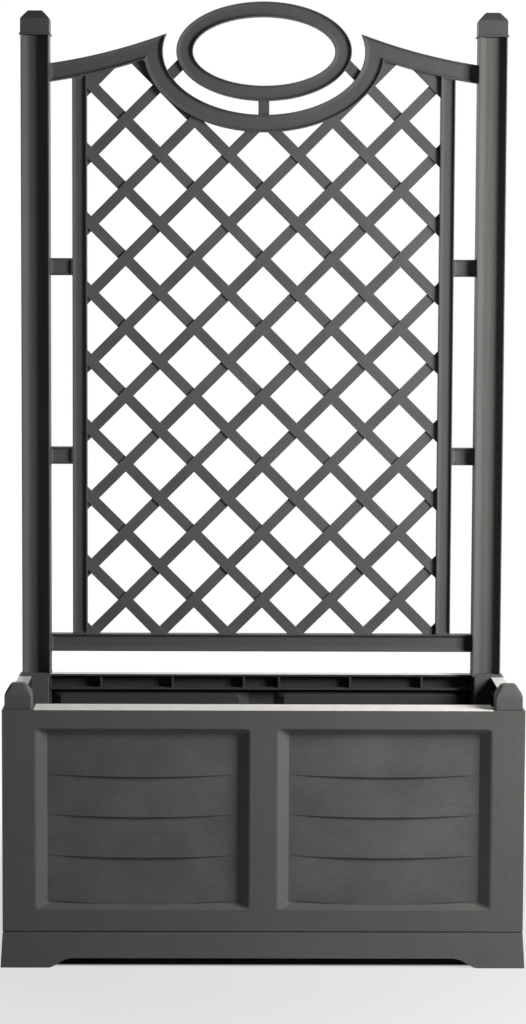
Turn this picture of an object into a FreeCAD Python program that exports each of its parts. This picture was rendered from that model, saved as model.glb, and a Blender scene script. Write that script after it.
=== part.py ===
import FreeCAD, Part
import math
import os
import re
from FreeCAD import Placement, Rotation, Vector

# A resin planter box with a woven privacy screen that plugs into its rear corners.
# The front faces -Y, +Z is up and the origin is under the middle of the box, on the ground.

doc = FreeCAD.newDocument("planter_with_privacy_screen")
sheet = doc.addObject("Spreadsheet::Sheet", "Sizes")

sizes = {
    # box outline
    "planter_width": 744,
    "planter_depth": 364,
    "rim_height": 372,
    "fit_clearance": 0.3,
    "cut_overrun": 5,
    # base
    "skirt_height": 51,
    "skirt_flare": 3,
    "base_wall": 4,
    "deck_thickness": 4,
    "foot_length": 68,
    "arch_height": 14,
    "arch_run": 40,
    "base_rib_wall": 3,
    "base_rib_depth": 10,
    "drain_hole_diameter": 12,
    # corner posts and their caps
    "corner_post_side": 45,
    "socket_side": 26.6,
    "front_cap_side": 38,
    "front_cap_height": 36,
    "front_cap_bevel_height": 14,
    "front_cap_bevel_inset": 9,
    "cap_plug_length": 30,
    # wall panels
    "panel_skin": 3,
    "panel_frame_depth": 20,
    "recess_depth": 8,
    "recess_end_margin": 2.5,
    "recess_top_margin": 28,
    "recess_bottom_margin": 38,
    "recess_side_bevel": 17,
    "recess_level_bevel": 8.5,
    "mullion_width": 39,
    "plank_proud": 3,
    "plank_bow": 3.7,
    "last_plank_proud": 7,
    "last_plank_bow": 8,
    "rim_flange_depth": 55,
    "rim_flange_thickness": 4,
    "panel_rib_drop": 21,
    "panel_rib_wall": 3,
    "gusset_first": 27,
    "gusset_pitch": 110,
    "tongue_depth": 4,
    "tongue_thickness": 3,
    "tongue_setback": 8,
    "tab_length": 30,
    # screen posts
    "screen_post_side": 42.5,
    "screen_post_setback": 4.5,
    "screen_post_length": 968,
    "screen_wall": 2.5,
    "screen_web": 10,
    "screen_post_core": 12,
    "collar_thickness": 4,
    "collar_overhang": 0.5,
    "tenon_length": 90,
    "post_cap_height": 37,
    "post_cap_bevel_height": 14,
    "post_cap_bevel_inset": 10.5,
    "post_cap_overhang": 0.5,
    "post_cap_lip_height": 3,
    "post_cap_lip_overhang": 2,
    "post_cap_tongue_length": 18,
    "post_cap_tongue_thickness": 8,
    # screen frame
    "frame_depth": 18,
    "stile_width": 22,
    "stub_length": 34.25,
    "stub_height": 26,
    "stub_lower_rise": 338,
    "stub_upper_rise": 625,
    "bottom_rail_height": 26.5,
    "bottom_rail_rise": 37,
    "top_rail_height": 27,
    "top_rail_rise": 903.5,
    "wing_reach": 130,
    "wing_rise": 52,
    "wing_sag": 6,
    # crescent and oval ring
    "ring_rise": 950,
    "ring_gap_width": 20.5,
    "ring_gap_height": 21,
    "ring_band_width": 25,
    "ring_band_height": 22.5,
    "crescent_half_width": 153,
    "crescent_half_height": 95,
    "crescent_band_width": 29,
    "crescent_band_height": 26,
    "strut_width": 16.5,
    "strut_thickness": 8,
    # woven lattice
    "slat_width": 16.5,
    "slat_thickness": 2.5,
    "slat_pitch": 104.5,
    "slat_flat_margin": 4,
    "lattice_first_rise": 52,
}

# How far down the recess floor each plank's lower edge lies
plank_edge_shares = (0.242, 0.486, 0.733, 0.994)
# Where the panel tabs stand along each half of the panel
tab_place_share = 0.55
# The slanted struts leave the oval at this share of its half width and half height
strut_place_shares = (0.8, 0.0)
# Pieces of slat under this share of a slat's square end are trimmed away
slat_scrap_share = 0.5
base_bays_long = 6
base_bays_deep = 3

for row, (name, value) in enumerate(sizes.items(), start=1):
    sheet.set(f"A{row}", name)
    sheet.set(f"B{row}", str(value))
    sheet.setAlias(f"B{row}", name)
doc.recompute()


def size(name):
    return float(sheet.get(name))


def formula(text):
    return re.sub(r"[a-z][a-z_]+", lambda word: f"Sizes.{word[0]}" if word[0] in sizes else word[0], text)


def bind(item, prop, text):
    item.setExpression(prop, formula(text))


def block(name, x, y, z):
    """A box between the low and the high formula given for each axis."""
    item = doc.addObject("Part::Box", name)
    for side, axis, (low, high) in zip(("Length", "Width", "Height"), "xyz", (x, y, z)):
        bind(item, side, f"({high}) - ({low})")
        bind(item, f"Placement.Base.{axis}", low)
    return item


def centred(middle, width):
    return f"({middle}) - ({width}) / 2", f"({middle}) + ({width}) / 2"


def taper(name, x, near_z, far_x, far_z, y):
    """A four-sided frustum from the rectangle at the first y to the rectangle at the second."""
    item = doc.addObject("Part::Wedge", name)
    ends = {"Xmin": x[0], "Xmax": x[1], "Zmin": near_z[0], "Zmax": near_z[1], "X2min": far_x[0]}
    ends.update({"X2max": far_x[1], "Z2min": far_z[0], "Z2max": far_z[1], "Ymin": y[0], "Ymax": y[1]})
    for prop, text in ends.items():
        bind(item, prop, text)
    return item


def upright_taper(name, x, y, far_x, far_y, z):
    """The same frustum standing on the ground plane, for outlines that are alike front and back."""
    item = taper(name, x, y, far_x, far_y, z)
    item.Placement = Placement(Vector(), Rotation(Vector(1, 0, 0), 90))
    return item


def fuse(name, items):
    joined = doc.addObject("Part::MultiFuse", name)
    joined.Shapes = items
    joined.Refine = True
    return joined


def cut(name, base, tools):
    item = doc.addObject("Part::Cut", name)
    item.Base = base
    item.Tool = tools[0] if len(tools) == 1 else fuse(f"{name}_tools", tools)
    item.Refine = True
    return item


def mirror(name, source, normal):
    item = doc.addObject("Part::Mirroring", name)
    item.Source = source
    item.Normal = normal
    return item


def feature(name, shape):
    item = doc.addObject("Part::Feature", name)
    item.Shape = shape
    return item


left_right = Vector(1, 0, 0)
front_back = Vector(0, 1, 0)


# Base: a flared skirt on four feet with an arch between them, under a drained deck

def make_base():
    half_x = "planter_width / 2"
    half_y = "planter_depth / 2"
    flare_x = f"{half_x} + skirt_flare"
    flare_y = f"{half_y} + skirt_flare"
    skirt = upright_taper("skirt", (f"-({flare_x})", flare_x), (f"-({flare_y})", flare_y),
                          (f"-{half_x}", half_x), (f"-{half_y}", half_y), ("0", "skirt_height"))
    in_x = f"{half_x} - base_wall"
    in_y = f"{half_y} - base_wall"
    deck_under = "skirt_height - deck_thickness"
    rib_z = (f"{deck_under} - base_rib_depth", deck_under)
    hollow = block("skirt_hollow", (f"-({in_x})", in_x), (f"-({in_y})", in_y), ("0", deck_under))
    solids = [cut("skirt_shell", skirt, [hollow])]
    for bay in range(1, base_bays_long):
        place = f"planter_width * ({bay} / {base_bays_long}) - {half_x}"
        solids.append(block(f"cross_rib_{bay}", centred(place, "base_rib_wall"),
                            (f"-({in_y})", in_y), rib_z))
    for bay in range(1, base_bays_deep):
        place = f"planter_depth * ({bay} / {base_bays_deep}) - {half_y}"
        solids.append(block(f"long_rib_{bay}", (f"-({in_x})", in_x),
                            centred(place, "base_rib_wall"), rib_z))
    foot_x = (f"{half_x} - foot_length", in_x)
    foot_y = (f"{half_y} - foot_length", in_y)
    for side_x in (1, -1):
        for side_y in (1, -1):
            x = foot_x if side_x > 0 else (f"-({foot_x[1]})", f"-({foot_x[0]})")
            y = foot_y if side_y > 0 else (f"-({foot_y[1]})", f"-({foot_y[0]})")
            solids.append(block(f"foot_{side_x}_{side_y}", x, y, ("0", deck_under)))
    tray = fuse("base_body", solids)
    cutters = []
    arches = (("long_arch", flare_x, flare_y, 0), ("short_arch", flare_y, flare_x, 90))
    for name, half, across, turn in arches:
        low = f"{half} - foot_length"
        high = f"{low} - arch_run"
        deep = f"{across} + cut_overrun"
        arch = upright_taper(name, (f"-({low})", low), (f"-({deep})", deep),
                             (f"-({high})", high), (f"-({deep})", deep), ("0", "arch_height"))
        arch.Placement = Placement(Vector(), Rotation(Vector(0, 0, 1), turn) * arch.Placement.Rotation)
        cutters.append(arch)
    for bay in range(1, base_bays_long - 1):
        hole = doc.addObject("Part::Cylinder", f"drain_hole_{bay}")
        bind(hole, "Radius", "drain_hole_diameter / 2")
        bind(hole, "Height", "skirt_height + cut_overrun")
        bind(hole, "Placement.Base.x", f"planter_width * (({bay} + 1 / 2) / {base_bays_long}) - {half_x}")
        cutters.append(hole)
    slot_z = (f"{deck_under} - cut_overrun", "skirt_height + cut_overrun")
    slot_long = "tab_length + 2 * fit_clearance"
    slot_wide = "tongue_thickness + 2 * fit_clearance"
    for side in (1, -1):
        for end in (1, -1):
            along_x = f"{end} * ({tab_place_share}) * ({half_x} - corner_post_side)"
            across_y = f"{side} * ({half_y} - tongue_setback - tongue_thickness / 2)"
            cutters.append(block(f"long_slot_{side}_{end}", centred(along_x, slot_long),
                                 centred(across_y, slot_wide), slot_z))
            along_y = f"{end} * ({tab_place_share}) * ({half_y} - corner_post_side)"
            across_x = f"{side} * ({half_x} - tongue_setback - tongue_thickness / 2)"
            cutters.append(block(f"short_slot_{side}_{end}", centred(across_x, slot_wide),
                                 centred(along_y, slot_long), slot_z))
    return cut("base_tray", tray, cutters)


# Wall panels: an open-backed shell with recessed fields of overlapping planks under a flat rim

def plank(left, right, top, bottom, floor, proud, bow):
    """A board that swells forward and droops towards the middle of its lower edge."""
    top_left = Vector(left, floor, top)
    top_right = Vector(right, floor, top)
    low_left = Vector(left, floor, bottom)
    low_right = Vector(right, floor, bottom)
    crown = Vector((left + right) / 2, floor - proud, bottom - bow)
    lower_edge = Part.Arc(low_left, crown, low_right).toShape()
    chord = Part.makeLine(low_right, low_left)
    front = Part.makeRuledSurface(Part.makeLine(top_left, top_right), lower_edge)
    under = Part.Face(Part.Wire([lower_edge, chord]))
    back = Part.Face(Part.makePolygon([top_left, top_right, low_right, low_left, top_left]))
    shell = Part.makeShell([front, under, back])
    shell.sewShape()
    board = Part.makeSolid(shell)
    if board.Volume < 0:
        board.reverse()
    return board


def make_panel(name, half_length, half_span, fields, flange_depth, gussets):
    """A panel that faces -Y, its outer face at half_span, its ends at half_length.

    Each field is the pair of formulas for the recess's two upright edges."""
    outer = f"-({half_span})"
    back = f"{outer} + panel_frame_depth"
    bottom = "skirt_height"
    ends = (f"-({half_length})", half_length)
    solids = [block(f"{name}_skin", ends, (outer, f"{outer} + panel_skin"), (bottom, "rim_height"))]
    solids.append(block(f"{name}_sill", ends, (outer, back), (bottom, f"{bottom} + panel_skin")))
    flange_under = "rim_height - rim_flange_thickness"
    solids.append(block(f"{name}_flange", ends, (outer, f"{outer} + {flange_depth}"),
                        (flange_under, "rim_height")))
    rib_top = "rim_height - panel_rib_drop"
    solids.append(block(f"{name}_rib", ends, (outer, back), (f"{rib_top} - panel_rib_wall", rib_top)))
    for end in (1, -1):
        wall = (f"{half_length} - panel_skin", half_length)
        tongue = (half_length, f"{half_length} + tongue_depth")
        if end < 0:
            wall = (f"-({wall[1]})", f"-({wall[0]})")
            tongue = (f"-({tongue[1]})", f"-({tongue[0]})")
        solids.append(block(f"{name}_end_{end}", wall, (outer, back), (bottom, "rim_height")))
        tongue_y = (f"{outer} + tongue_setback", f"{outer} + tongue_setback + tongue_thickness")
        solids.append(block(f"{name}_tongue_{end}", tongue, tongue_y, (bottom, rib_top)))
        tab_middle = f"{end} * ({tab_place_share}) * ({half_length})"
        solids.append(block(f"{name}_tab_{end}", centred(tab_middle, "tab_length"), tongue_y,
                            (f"{bottom} - deck_thickness", f"{bottom} + panel_skin")))
    for index, place in enumerate(gussets):
        solids.append(block(f"{name}_gusset_{index}", centred(place, "panel_rib_wall"),
                            (outer, back), (rib_top, flange_under)))
    pockets = []
    boards = []
    top = "rim_height - recess_top_margin"
    low = f"{bottom} + recess_bottom_margin"
    for index, (left, right) in enumerate(fields):
        floor_x = (f"{left} + recess_side_bevel", f"{right} - recess_side_bevel")
        floor_z = (f"{low} + recess_level_bevel", f"{top} - recess_level_bevel")
        pockets.append(taper(f"{name}_recess_{index}", (left, right), (low, top), floor_x, floor_z,
                             (outer, f"{outer} + recess_depth")))
        grown = [(f"{left} - recess_end_margin", f"{right} + recess_end_margin")]
        for pair in ((low, top), floor_x, floor_z):
            grown.append((f"{pair[0]} - panel_skin", f"{pair[1]} + panel_skin"))
        solids.append(taper(f"{name}_recess_back_{index}", *grown,
                            (outer, f"{outer} + recess_depth + panel_skin")))
        boards.append((floor_x, floor_z))
    frame = cut(f"{name}_frame", fuse(f"{name}_shell", solids), pockets)
    planks = []
    floor = -value_of(half_span) + size("recess_depth")
    for floor_x, floor_z in boards:
        left, right = (value_of(text) for text in floor_x)
        low_edge, high_edge = (value_of(text) for text in floor_z)
        start = high_edge
        for share in plank_edge_shares:
            end = high_edge - share * (high_edge - low_edge)
            kind = "last_plank" if share == plank_edge_shares[-1] else "plank"
            planks.append(plank(left, right, start, end, floor, size(f"{kind}_proud"), size(f"{kind}_bow")))
            start = end
    return fuse(name, [frame, feature(f"{name}_planks", Part.makeCompound(planks))])


def value_of(text):
    """The number that a formula of the sheet's sizes stands for."""
    return float(sheet.evalExpression(formula(text)))


def make_panels():
    half_x = "planter_width / 2"
    half_y = "planter_depth / 2"
    long_half = f"{half_x} - corner_post_side"
    short_half = f"{half_y} - corner_post_side"
    long_fields = [(f"-({long_half} - recess_end_margin)", "-mullion_width / 2"),
                   ("mullion_width / 2", f"{long_half} - recess_end_margin")]
    short_fields = [(f"-({short_half} - recess_end_margin)", f"{short_half} - recess_end_margin")]
    gussets = [f"{side} * (gusset_first + {step} * gusset_pitch)" for step in range(3) for side in (1, -1)]
    front = make_panel("front_panel", long_half, half_y, long_fields, "rim_flange_depth", gussets)
    back = make_panel("back_panel", long_half, half_y, long_fields, "panel_frame_depth", gussets)
    back.Placement = Placement(Vector(), Rotation(Vector(0, 0, 1), 180))
    left = make_panel("left_panel", short_half, half_x, short_fields, "panel_frame_depth", gussets[:2])
    left.Placement = Placement(Vector(), Rotation(Vector(0, 0, 1), -90))
    return [front, back, left, mirror("right_panel", left, left_right)]


# Corner posts: square tubes with a groove for each panel's tongue

def make_corner_posts():
    inner_x = "planter_width / 2 - corner_post_side"
    inner_y = "planter_depth / 2 - corner_post_side"
    middle_x = f"-({inner_x} + corner_post_side / 2)"
    middle_y = f"-({inner_y} + corner_post_side / 2)"
    tall = ("skirt_height", "rim_height")
    cut_tall = ("skirt_height - cut_overrun", "rim_height + cut_overrun")
    groove = "tongue_thickness + 2 * fit_clearance"
    deep = "tongue_depth + fit_clearance"
    post = block("corner_post_blank", centred(middle_x, "corner_post_side"),
                 centred(middle_y, "corner_post_side"), tall)
    socket = block("corner_post_socket", centred(middle_x, "socket_side"),
                   centred(middle_y, "socket_side"), cut_tall)
    front_groove = block("front_groove", (f"-({inner_x} + {deep})", f"-({inner_x}) + cut_overrun"),
                         centred("tongue_setback + tongue_thickness / 2 - planter_depth / 2", groove),
                         cut_tall)
    side_groove = block("side_groove",
                        centred("tongue_setback + tongue_thickness / 2 - planter_width / 2", groove),
                        (f"-({inner_y} + {deep})", f"-({inner_y}) + cut_overrun"), cut_tall)
    first = cut("corner_post_front_left", post, [socket, front_groove, side_groove])
    second = mirror("corner_post_front_right", first, left_right)
    third = mirror("corner_post_rear_left", first, front_back)
    fourth = mirror("corner_post_rear_right", second, front_back)
    return [first, second, third, fourth]


def bevelled_cap(name, middle_x, middle_y, side, foot, height, bevel_height, bevel_inset):
    """A square block whose top slopes in on all four sides."""
    shoulder = f"{foot} + {height} - {bevel_height}"
    flat = f"{side} - 2 * {bevel_inset}"
    body = block(f"{name}_body", centred(middle_x, side), centred(middle_y, side), (foot, shoulder))
    crown = upright_taper(f"{name}_crown", centred("0", side), centred("0", side),
                          centred("0", flat), centred("0", flat), (shoulder, f"{foot} + {height}"))
    bind(crown, "Placement.Base.x", middle_x)
    bind(crown, "Placement.Base.y", middle_y)
    return [body, crown]


def make_front_caps():
    post_x = "planter_width / 2 - corner_post_side / 2"
    post_y = "planter_depth / 2 - corner_post_side / 2"
    solids = bevelled_cap("front_cap", f"-({post_x})", f"-({post_y})", "front_cap_side", "rim_height",
                          "front_cap_height", "front_cap_bevel_height", "front_cap_bevel_inset")
    plug = "socket_side - 2 * fit_clearance"
    solids.append(block("front_cap_plug", centred(f"-({post_x})", plug), centred(f"-({post_y})", plug),
                        ("rim_height - cap_plug_length", "rim_height")))
    left = fuse("front_cap_left", solids)
    return [left, mirror("front_cap_right", left, left_right)]


# Screen posts: H-shaped uprights on a collar, with a tenon that drops into the rear corner post

screen_post_x = "planter_width / 2 - corner_post_side / 2 - screen_post_setback"
screen_y = "planter_depth / 2 - screen_post_side / 2"
post_foot = "rim_height + collar_thickness"
post_head = f"{post_foot} + screen_post_length"
post_inner_x = f"{screen_post_x} - screen_post_side / 2"


def channels(name, x, z, depth, core):
    """The front and the back groove of an H-shaped member, on either side of its core."""
    deep = f"({depth} - {core}) / 2"
    inner_x = (f"{x[0]} + screen_wall", f"{x[1]} - screen_wall")
    front_face = f"{screen_y} - {depth} / 2"
    back_face = f"{screen_y} + {depth} / 2"
    front = block(f"{name}_front_channel", inner_x, (front_face, f"{front_face} + {deep}"), z)
    back = block(f"{name}_back_channel", inner_x, (f"{back_face} - {deep}", back_face), z)
    return [front, back]


def make_screen_posts():
    x = centred(f"-({screen_post_x})", "screen_post_side")
    y = centred(screen_y, "screen_post_side")
    shaft = block("post_shaft", x, y, (post_foot, post_head))
    shaft = cut("post_section", shaft, channels("post", x, (post_foot, post_head),
                                                "screen_post_side", "screen_post_core"))
    collar_side = "screen_post_side + 2 * collar_overhang"
    collar_y = f"{screen_y} - collar_overhang"
    collar = block("post_collar", centred(f"-({screen_post_x})", collar_side),
                   centred(collar_y, collar_side), ("rim_height", post_foot))
    tenon_side = "socket_side - 2 * fit_clearance"
    tenon = block("post_tenon", centred("corner_post_side / 2 - planter_width / 2", tenon_side),
                  centred("planter_depth / 2 - corner_post_side / 2", tenon_side),
                  ("rim_height - tenon_length", "rim_height"))
    left = fuse("screen_post_left", [shaft, collar, tenon])
    return [left, mirror("screen_post_right", left, left_right)]


def make_post_caps():
    middle_x = f"-({screen_post_x})"
    side = "(screen_post_side + 2 * post_cap_overhang)"
    lip = "screen_post_side + 2 * post_cap_lip_overhang"
    solids = bevelled_cap("post_cap", middle_x, screen_y, side, f"({post_head})", "post_cap_height",
                          "post_cap_bevel_height", "post_cap_bevel_inset")
    solids.append(block("post_cap_lip", centred(middle_x, lip), centred(screen_y, lip),
                        (post_head, f"{post_head} + post_cap_lip_height")))
    width = "screen_post_side - 2 * screen_wall - 2 * fit_clearance"
    tongue_front = f"{screen_y} + screen_post_core / 2 + fit_clearance"
    solids.append(block("post_cap_tongue", centred(middle_x, width),
                        (tongue_front, f"{tongue_front} + post_cap_tongue_thickness"),
                        (f"{post_head} - post_cap_tongue_length", post_head)))
    left = fuse("post_cap_left", solids)
    return [left, mirror("post_cap_right", left, left_right)]


# Screen frame: rails, stiles and stubs, all hollowed front and back

def hollow_member(name, x, z):
    """A straight member closed by a wall on all four edges."""
    inner_z = (f"{z[0]} + screen_wall", f"{z[1]} - screen_wall")
    blank = block(f"{name}_blank", x, centred(screen_y, "frame_depth"), z)
    return cut(name, blank, channels(name, x, inner_z, "frame_depth", "screen_web"))


stile_outer_x = f"{post_inner_x} - stub_length"
stile_inner_x = f"{stile_outer_x} - stile_width"
rail_foot = "rim_height + bottom_rail_rise"
rail_head = f"{rail_foot} + bottom_rail_height"


def make_straight_members(crest_cover):
    rail = hollow_member("bottom_rail", (f"-({post_inner_x})", post_inner_x), (rail_foot, rail_head))
    members = [rail]
    for level in ("lower", "upper"):
        z = centred(f"rim_height + stub_{level}_rise", "stub_height")
        stub = hollow_member(f"stub_left_{level}", (f"-({post_inner_x})", f"-({stile_outer_x})"), z)
        members += [stub, mirror(f"stub_right_{level}", stub, left_right)]
    x = (f"-({stile_outer_x})", f"-({stile_inner_x})")
    head = "rim_height + top_rail_rise + top_rail_height"
    blank = block("stile_blank", x, centred(screen_y, "frame_depth"), (rail_head, head))
    groove_z = (f"{rail_head} + screen_wall", "rim_height + top_rail_rise - screen_wall")
    grooves = channels("stile", x, groove_z, "frame_depth", "screen_web")
    stile = cut("stile_left", cut("stile_section", blank, grooves), [crest_cover])
    members += [stile, mirror("stile_right", stile, left_right)]
    return members


# Crest: two swept rails that end in horns, carried round under the oval ring by a crescent

screen_middle_y = value_of(screen_y)
ring_z = size("rim_height") + size("ring_rise")
ring_half_width = size("crescent_half_width") - size("ring_gap_width")
ring_half_height = size("crescent_half_height") - size("ring_gap_height")


def prism(wire, depth):
    face = Part.Face(wire)
    face.translate(Vector(0, screen_middle_y - depth / 2, 0))
    return face.extrude(Vector(0, depth, 0))


def oval(half_width, half_height, depth):
    """An elliptical plug round the ring's middle."""
    curve = Part.Ellipse(Vector(), max(half_width, half_height), min(half_width, half_height)).toShape()
    if half_height > half_width:
        curve.rotate(Vector(), Vector(0, 0, 1), 90)
    curve.rotate(Vector(), Vector(1, 0, 0), 90)
    curve.translate(Vector(0, 0, ring_z))
    return prism(Part.Wire([curve]), depth)


def wing_edge(lift):
    """The rail's swept line on the left, from the post to inside the crescent, raised by lift."""
    start = Vector(-value_of(post_inner_x), 0, size("rim_height") + size("top_rail_rise") + lift)
    end = Vector(-size("wing_reach"), 0, start.z + size("wing_rise"))
    middle = (start + end) / 2 - Vector(0, 0, size("wing_sag"))
    return start, Part.Arc(start, middle, end).toShape(), end


def wing(low_lift, high_lift, depth):
    low_start, low_arc, low_end = wing_edge(low_lift)
    high_start, high_arc, high_end = wing_edge(high_lift)
    near = Part.makeLine(high_start, low_start)
    far = Part.makeLine(low_end, high_end)
    return prism(Part.Wire(Part.__sortEdges__([near, low_arc, far, high_arc])), depth)


def both_sides(shape):
    return shape.fuse(shape.mirror(Vector(), left_right))


def crest_outline(inset, depth):
    """The crest's solid, or with an inset the space inside its walls."""
    wings = wing(inset, size("top_rail_height") - inset, depth)
    if inset:
        span = value_of(post_inner_x)
        end_wall = Part.makeBox(inset, 2 * depth, 2 * size("wing_rise") + size("top_rail_height"))
        rail_z = size("rim_height") + size("top_rail_rise")
        end_wall.translate(Vector(-span, screen_middle_y - depth, rail_z))
        wings = wings.cut(end_wall)
    inner = (size("crescent_half_width") + inset, size("crescent_half_height") + inset)
    outer = (size("crescent_half_width") + size("crescent_band_width") - inset,
             size("crescent_half_height") + size("crescent_band_height") - inset)
    bowl = oval(*outer, depth)
    box = bowl.BoundBox
    corner = Vector(box.XMin, box.YMin, box.ZMin)
    lower_half = Part.makeBox(box.XLength, box.YLength, box.ZLength / 2, corner)
    return both_sides(wings).fuse(bowl.common(lower_half)).cut(oval(*inner, 2 * depth))


def make_crest():
    depth = size("frame_depth")
    crest = crest_outline(0, depth)
    space = crest_outline(size("screen_wall"), depth)
    web_gap = (depth + size("screen_web")) / 2
    for way in (1, -1):
        groove = space.copy()
        groove.translate(Vector(0, way * web_gap, 0))
        crest = crest.cut(groove)
    return feature("crest", crest.removeSplitter())


def above_crest(clearance, depth):
    """Everything from the crest's lower edge upwards, for trimming what ends under it."""
    tall = size("wing_rise") + 2 * ring_half_height
    cover = both_sides(wing(-clearance, tall, depth))
    middle = Part.makeBox(2 * size("wing_reach"), depth, tall)
    corner = Vector(-size("wing_reach"), screen_middle_y - depth / 2,
                    size("rim_height") + size("top_rail_rise") + size("wing_rise"))
    middle.translate(corner)
    bowl = oval(size("crescent_half_width") + size("crescent_band_width") + clearance,
                size("crescent_half_height") + size("crescent_band_height") + clearance, depth)
    return cover.fuse([middle, bowl])


def make_ring():
    depth = size("frame_depth")
    wide, tall = ring_half_width, ring_half_height
    band_wide, band_tall = size("ring_band_width"), size("ring_band_height")
    wall = size("screen_wall")
    ring = oval(wide, tall, depth).cut(oval(wide - band_wide, tall - band_tall, 2 * depth))
    space = oval(wide - wall, tall - wall, depth)
    space = space.cut(oval(wide - band_wide + wall, tall - band_tall + wall, 2 * depth))
    web_gap = (depth + size("screen_web")) / 2
    for way in (1, -1):
        groove = space.copy()
        groove.translate(Vector(0, way * web_gap, 0))
        ring = ring.cut(groove)
    reach = size("crescent_half_width")
    thick = size("strut_thickness")
    bar = Part.makeBox(reach, thick, size("strut_width"))
    bar.translate(Vector(0, screen_middle_y - thick / 2, -size("strut_width") / 2))
    share_x, share_z = strut_place_shares
    corner = Vector(-share_x * wide, 0, ring_z - share_z * tall)
    struts = []
    for turn, start in ((90, Vector(0, 0, ring_z)), (135, corner), (45, Vector(-corner.x, 0, corner.z))):
        strut = bar.copy()
        strut.rotate(Vector(), Vector(0, 1, 0), turn)
        strut.translate(start)
        strut = strut.common(oval(reach, size("crescent_half_height"), 2 * depth))
        struts.append(strut.cut(oval(wide - wall, tall - wall, 2 * depth)))
    return feature("oval_ring", ring.fuse(struts).removeSplitter())


# Lattice: two sets of slats woven over and under each other at every crossing

def woven_slat(first_side, crossings):
    """A slat along X through the origin whose even crossings lie on first_side of the screen."""
    step = size("slat_pitch") / math.sqrt(2)
    flat = size("slat_width") / 2 + size("slat_flat_margin")
    thick = size("slat_thickness")
    front = []
    for crossing in range(-crossings, crossings + 1):
        lies_in_front = (crossing % 2 == 0) == (first_side < 0)
        y = -thick if lies_in_front else 0
        front += [Vector(crossing * step - flat, y, 0), Vector(crossing * step + flat, y, 0)]
    back = [point + Vector(0, thick, 0) for point in reversed(front)]
    section = Part.Face(Part.makePolygon(front + back + front[:1]))
    section.translate(Vector(0, 0, -size("slat_width") / 2))
    return section.extrude(Vector(0, 0, size("slat_width")))


def make_slats():
    gap = size("fit_clearance")
    half = value_of(stile_inner_x) - gap
    foot = value_of(rail_head) + gap
    head = ring_z
    depth = 4 * size("slat_thickness")
    field = Part.makeBox(2 * half, depth, head - foot, Vector(-half, screen_middle_y - depth / 2, foot))
    field = field.cut(above_crest(gap, 2 * depth))
    pitch = size("slat_pitch")
    first = Vector(0, screen_middle_y, value_of(rail_head) + size("lattice_first_rise"))
    crossings = math.ceil((head - foot) / pitch * 2)
    scrap = slat_scrap_share * size("slat_width") ** 2 * size("slat_thickness")
    nodes = []
    for name, turn, side in (("rising_slats", -45, -1), ("falling_slats", 45, 1)):
        pattern = woven_slat(side, crossings)
        pattern.rotate(Vector(), Vector(0, 1, 0), turn)
        pieces = []
        for line in range(-crossings, crossings + 1):
            slat = pattern.copy()
            slat.translate(first + Vector(line * pitch, 0, 0))
            pieces += [piece for piece in slat.common(field).Solids if piece.Volume > scrap]
        nodes.append(feature(name, Part.makeCompound(pieces)))
    return nodes


parts = [make_base()]
parts += make_panels()
parts += make_corner_posts()
parts += make_front_caps()
parts += make_screen_posts()
parts += make_post_caps()
parts.append(make_crest())
parts.append(make_ring())
crest_cover = feature("crest_cover", above_crest(0, 2 * size("frame_depth")))
parts += make_straight_members(crest_cover)
parts += make_slats()
doc.recompute()

for item in doc.Objects:
    if "Invalid" in item.State or "Error" in item.State:
        raise RuntimeError(f"{item.Label} failed to recompute")
os.makedirs("parts", exist_ok=True)
for part in parts:
    part.Label = part.Name
    if part.Shape.isNull() or not part.Shape.isValid():
        raise RuntimeError(f"{part.Label} has no valid shape")
    part.Shape.exportStep(f"parts/{part.Label}.step")
    box = part.Shape.BoundBox
    print(f"{part.Label}: {len(part.Shape.Solids)} solids, {part.Shape.Volume / 1000:.1f} cm3, "
          f"{box.XLength:.1f} x {box.YLength:.1f} x {box.ZLength:.1f} mm")
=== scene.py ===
import math

import bpy
from mathutils import Matrix, Vector


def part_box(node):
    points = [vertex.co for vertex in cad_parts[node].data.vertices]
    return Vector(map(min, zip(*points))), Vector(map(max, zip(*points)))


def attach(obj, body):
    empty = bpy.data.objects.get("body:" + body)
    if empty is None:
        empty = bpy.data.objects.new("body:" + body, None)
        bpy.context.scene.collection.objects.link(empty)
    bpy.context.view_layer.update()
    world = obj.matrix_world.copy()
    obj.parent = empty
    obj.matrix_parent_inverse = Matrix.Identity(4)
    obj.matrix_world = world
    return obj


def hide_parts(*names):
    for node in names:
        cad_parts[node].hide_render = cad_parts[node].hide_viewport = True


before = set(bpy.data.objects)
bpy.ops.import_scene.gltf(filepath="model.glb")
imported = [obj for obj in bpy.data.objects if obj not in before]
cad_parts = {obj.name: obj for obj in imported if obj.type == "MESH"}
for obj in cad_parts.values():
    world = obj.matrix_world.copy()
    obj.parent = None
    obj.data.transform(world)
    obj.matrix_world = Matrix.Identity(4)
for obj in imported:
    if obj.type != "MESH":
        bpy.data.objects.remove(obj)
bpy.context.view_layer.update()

quarter = math.radians(90)
close = 1e-5   # places nearer than this count as one
weld = 1e-6   # corners nearer than this are merged
print("frame loaded:", len(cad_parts), "nodes")


# Helpers for modelling by hand: start a primitive, pick faces by place or normal, finish with modifiers

def clearSelection():
    if bpy.context.mode != "OBJECT":
        bpy.ops.object.mode_set(mode="OBJECT")
    bpy.ops.object.select_all(action="DESELECT")


def activate(piece):
    clearSelection()
    piece.select_set(True)
    bpy.context.view_layer.objects.active = piece


def named(name):
    piece = bpy.context.object
    piece.name = name
    piece.data.name = name
    bpy.ops.object.transform_apply(location=True, rotation=True, scale=True)
    return piece


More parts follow.
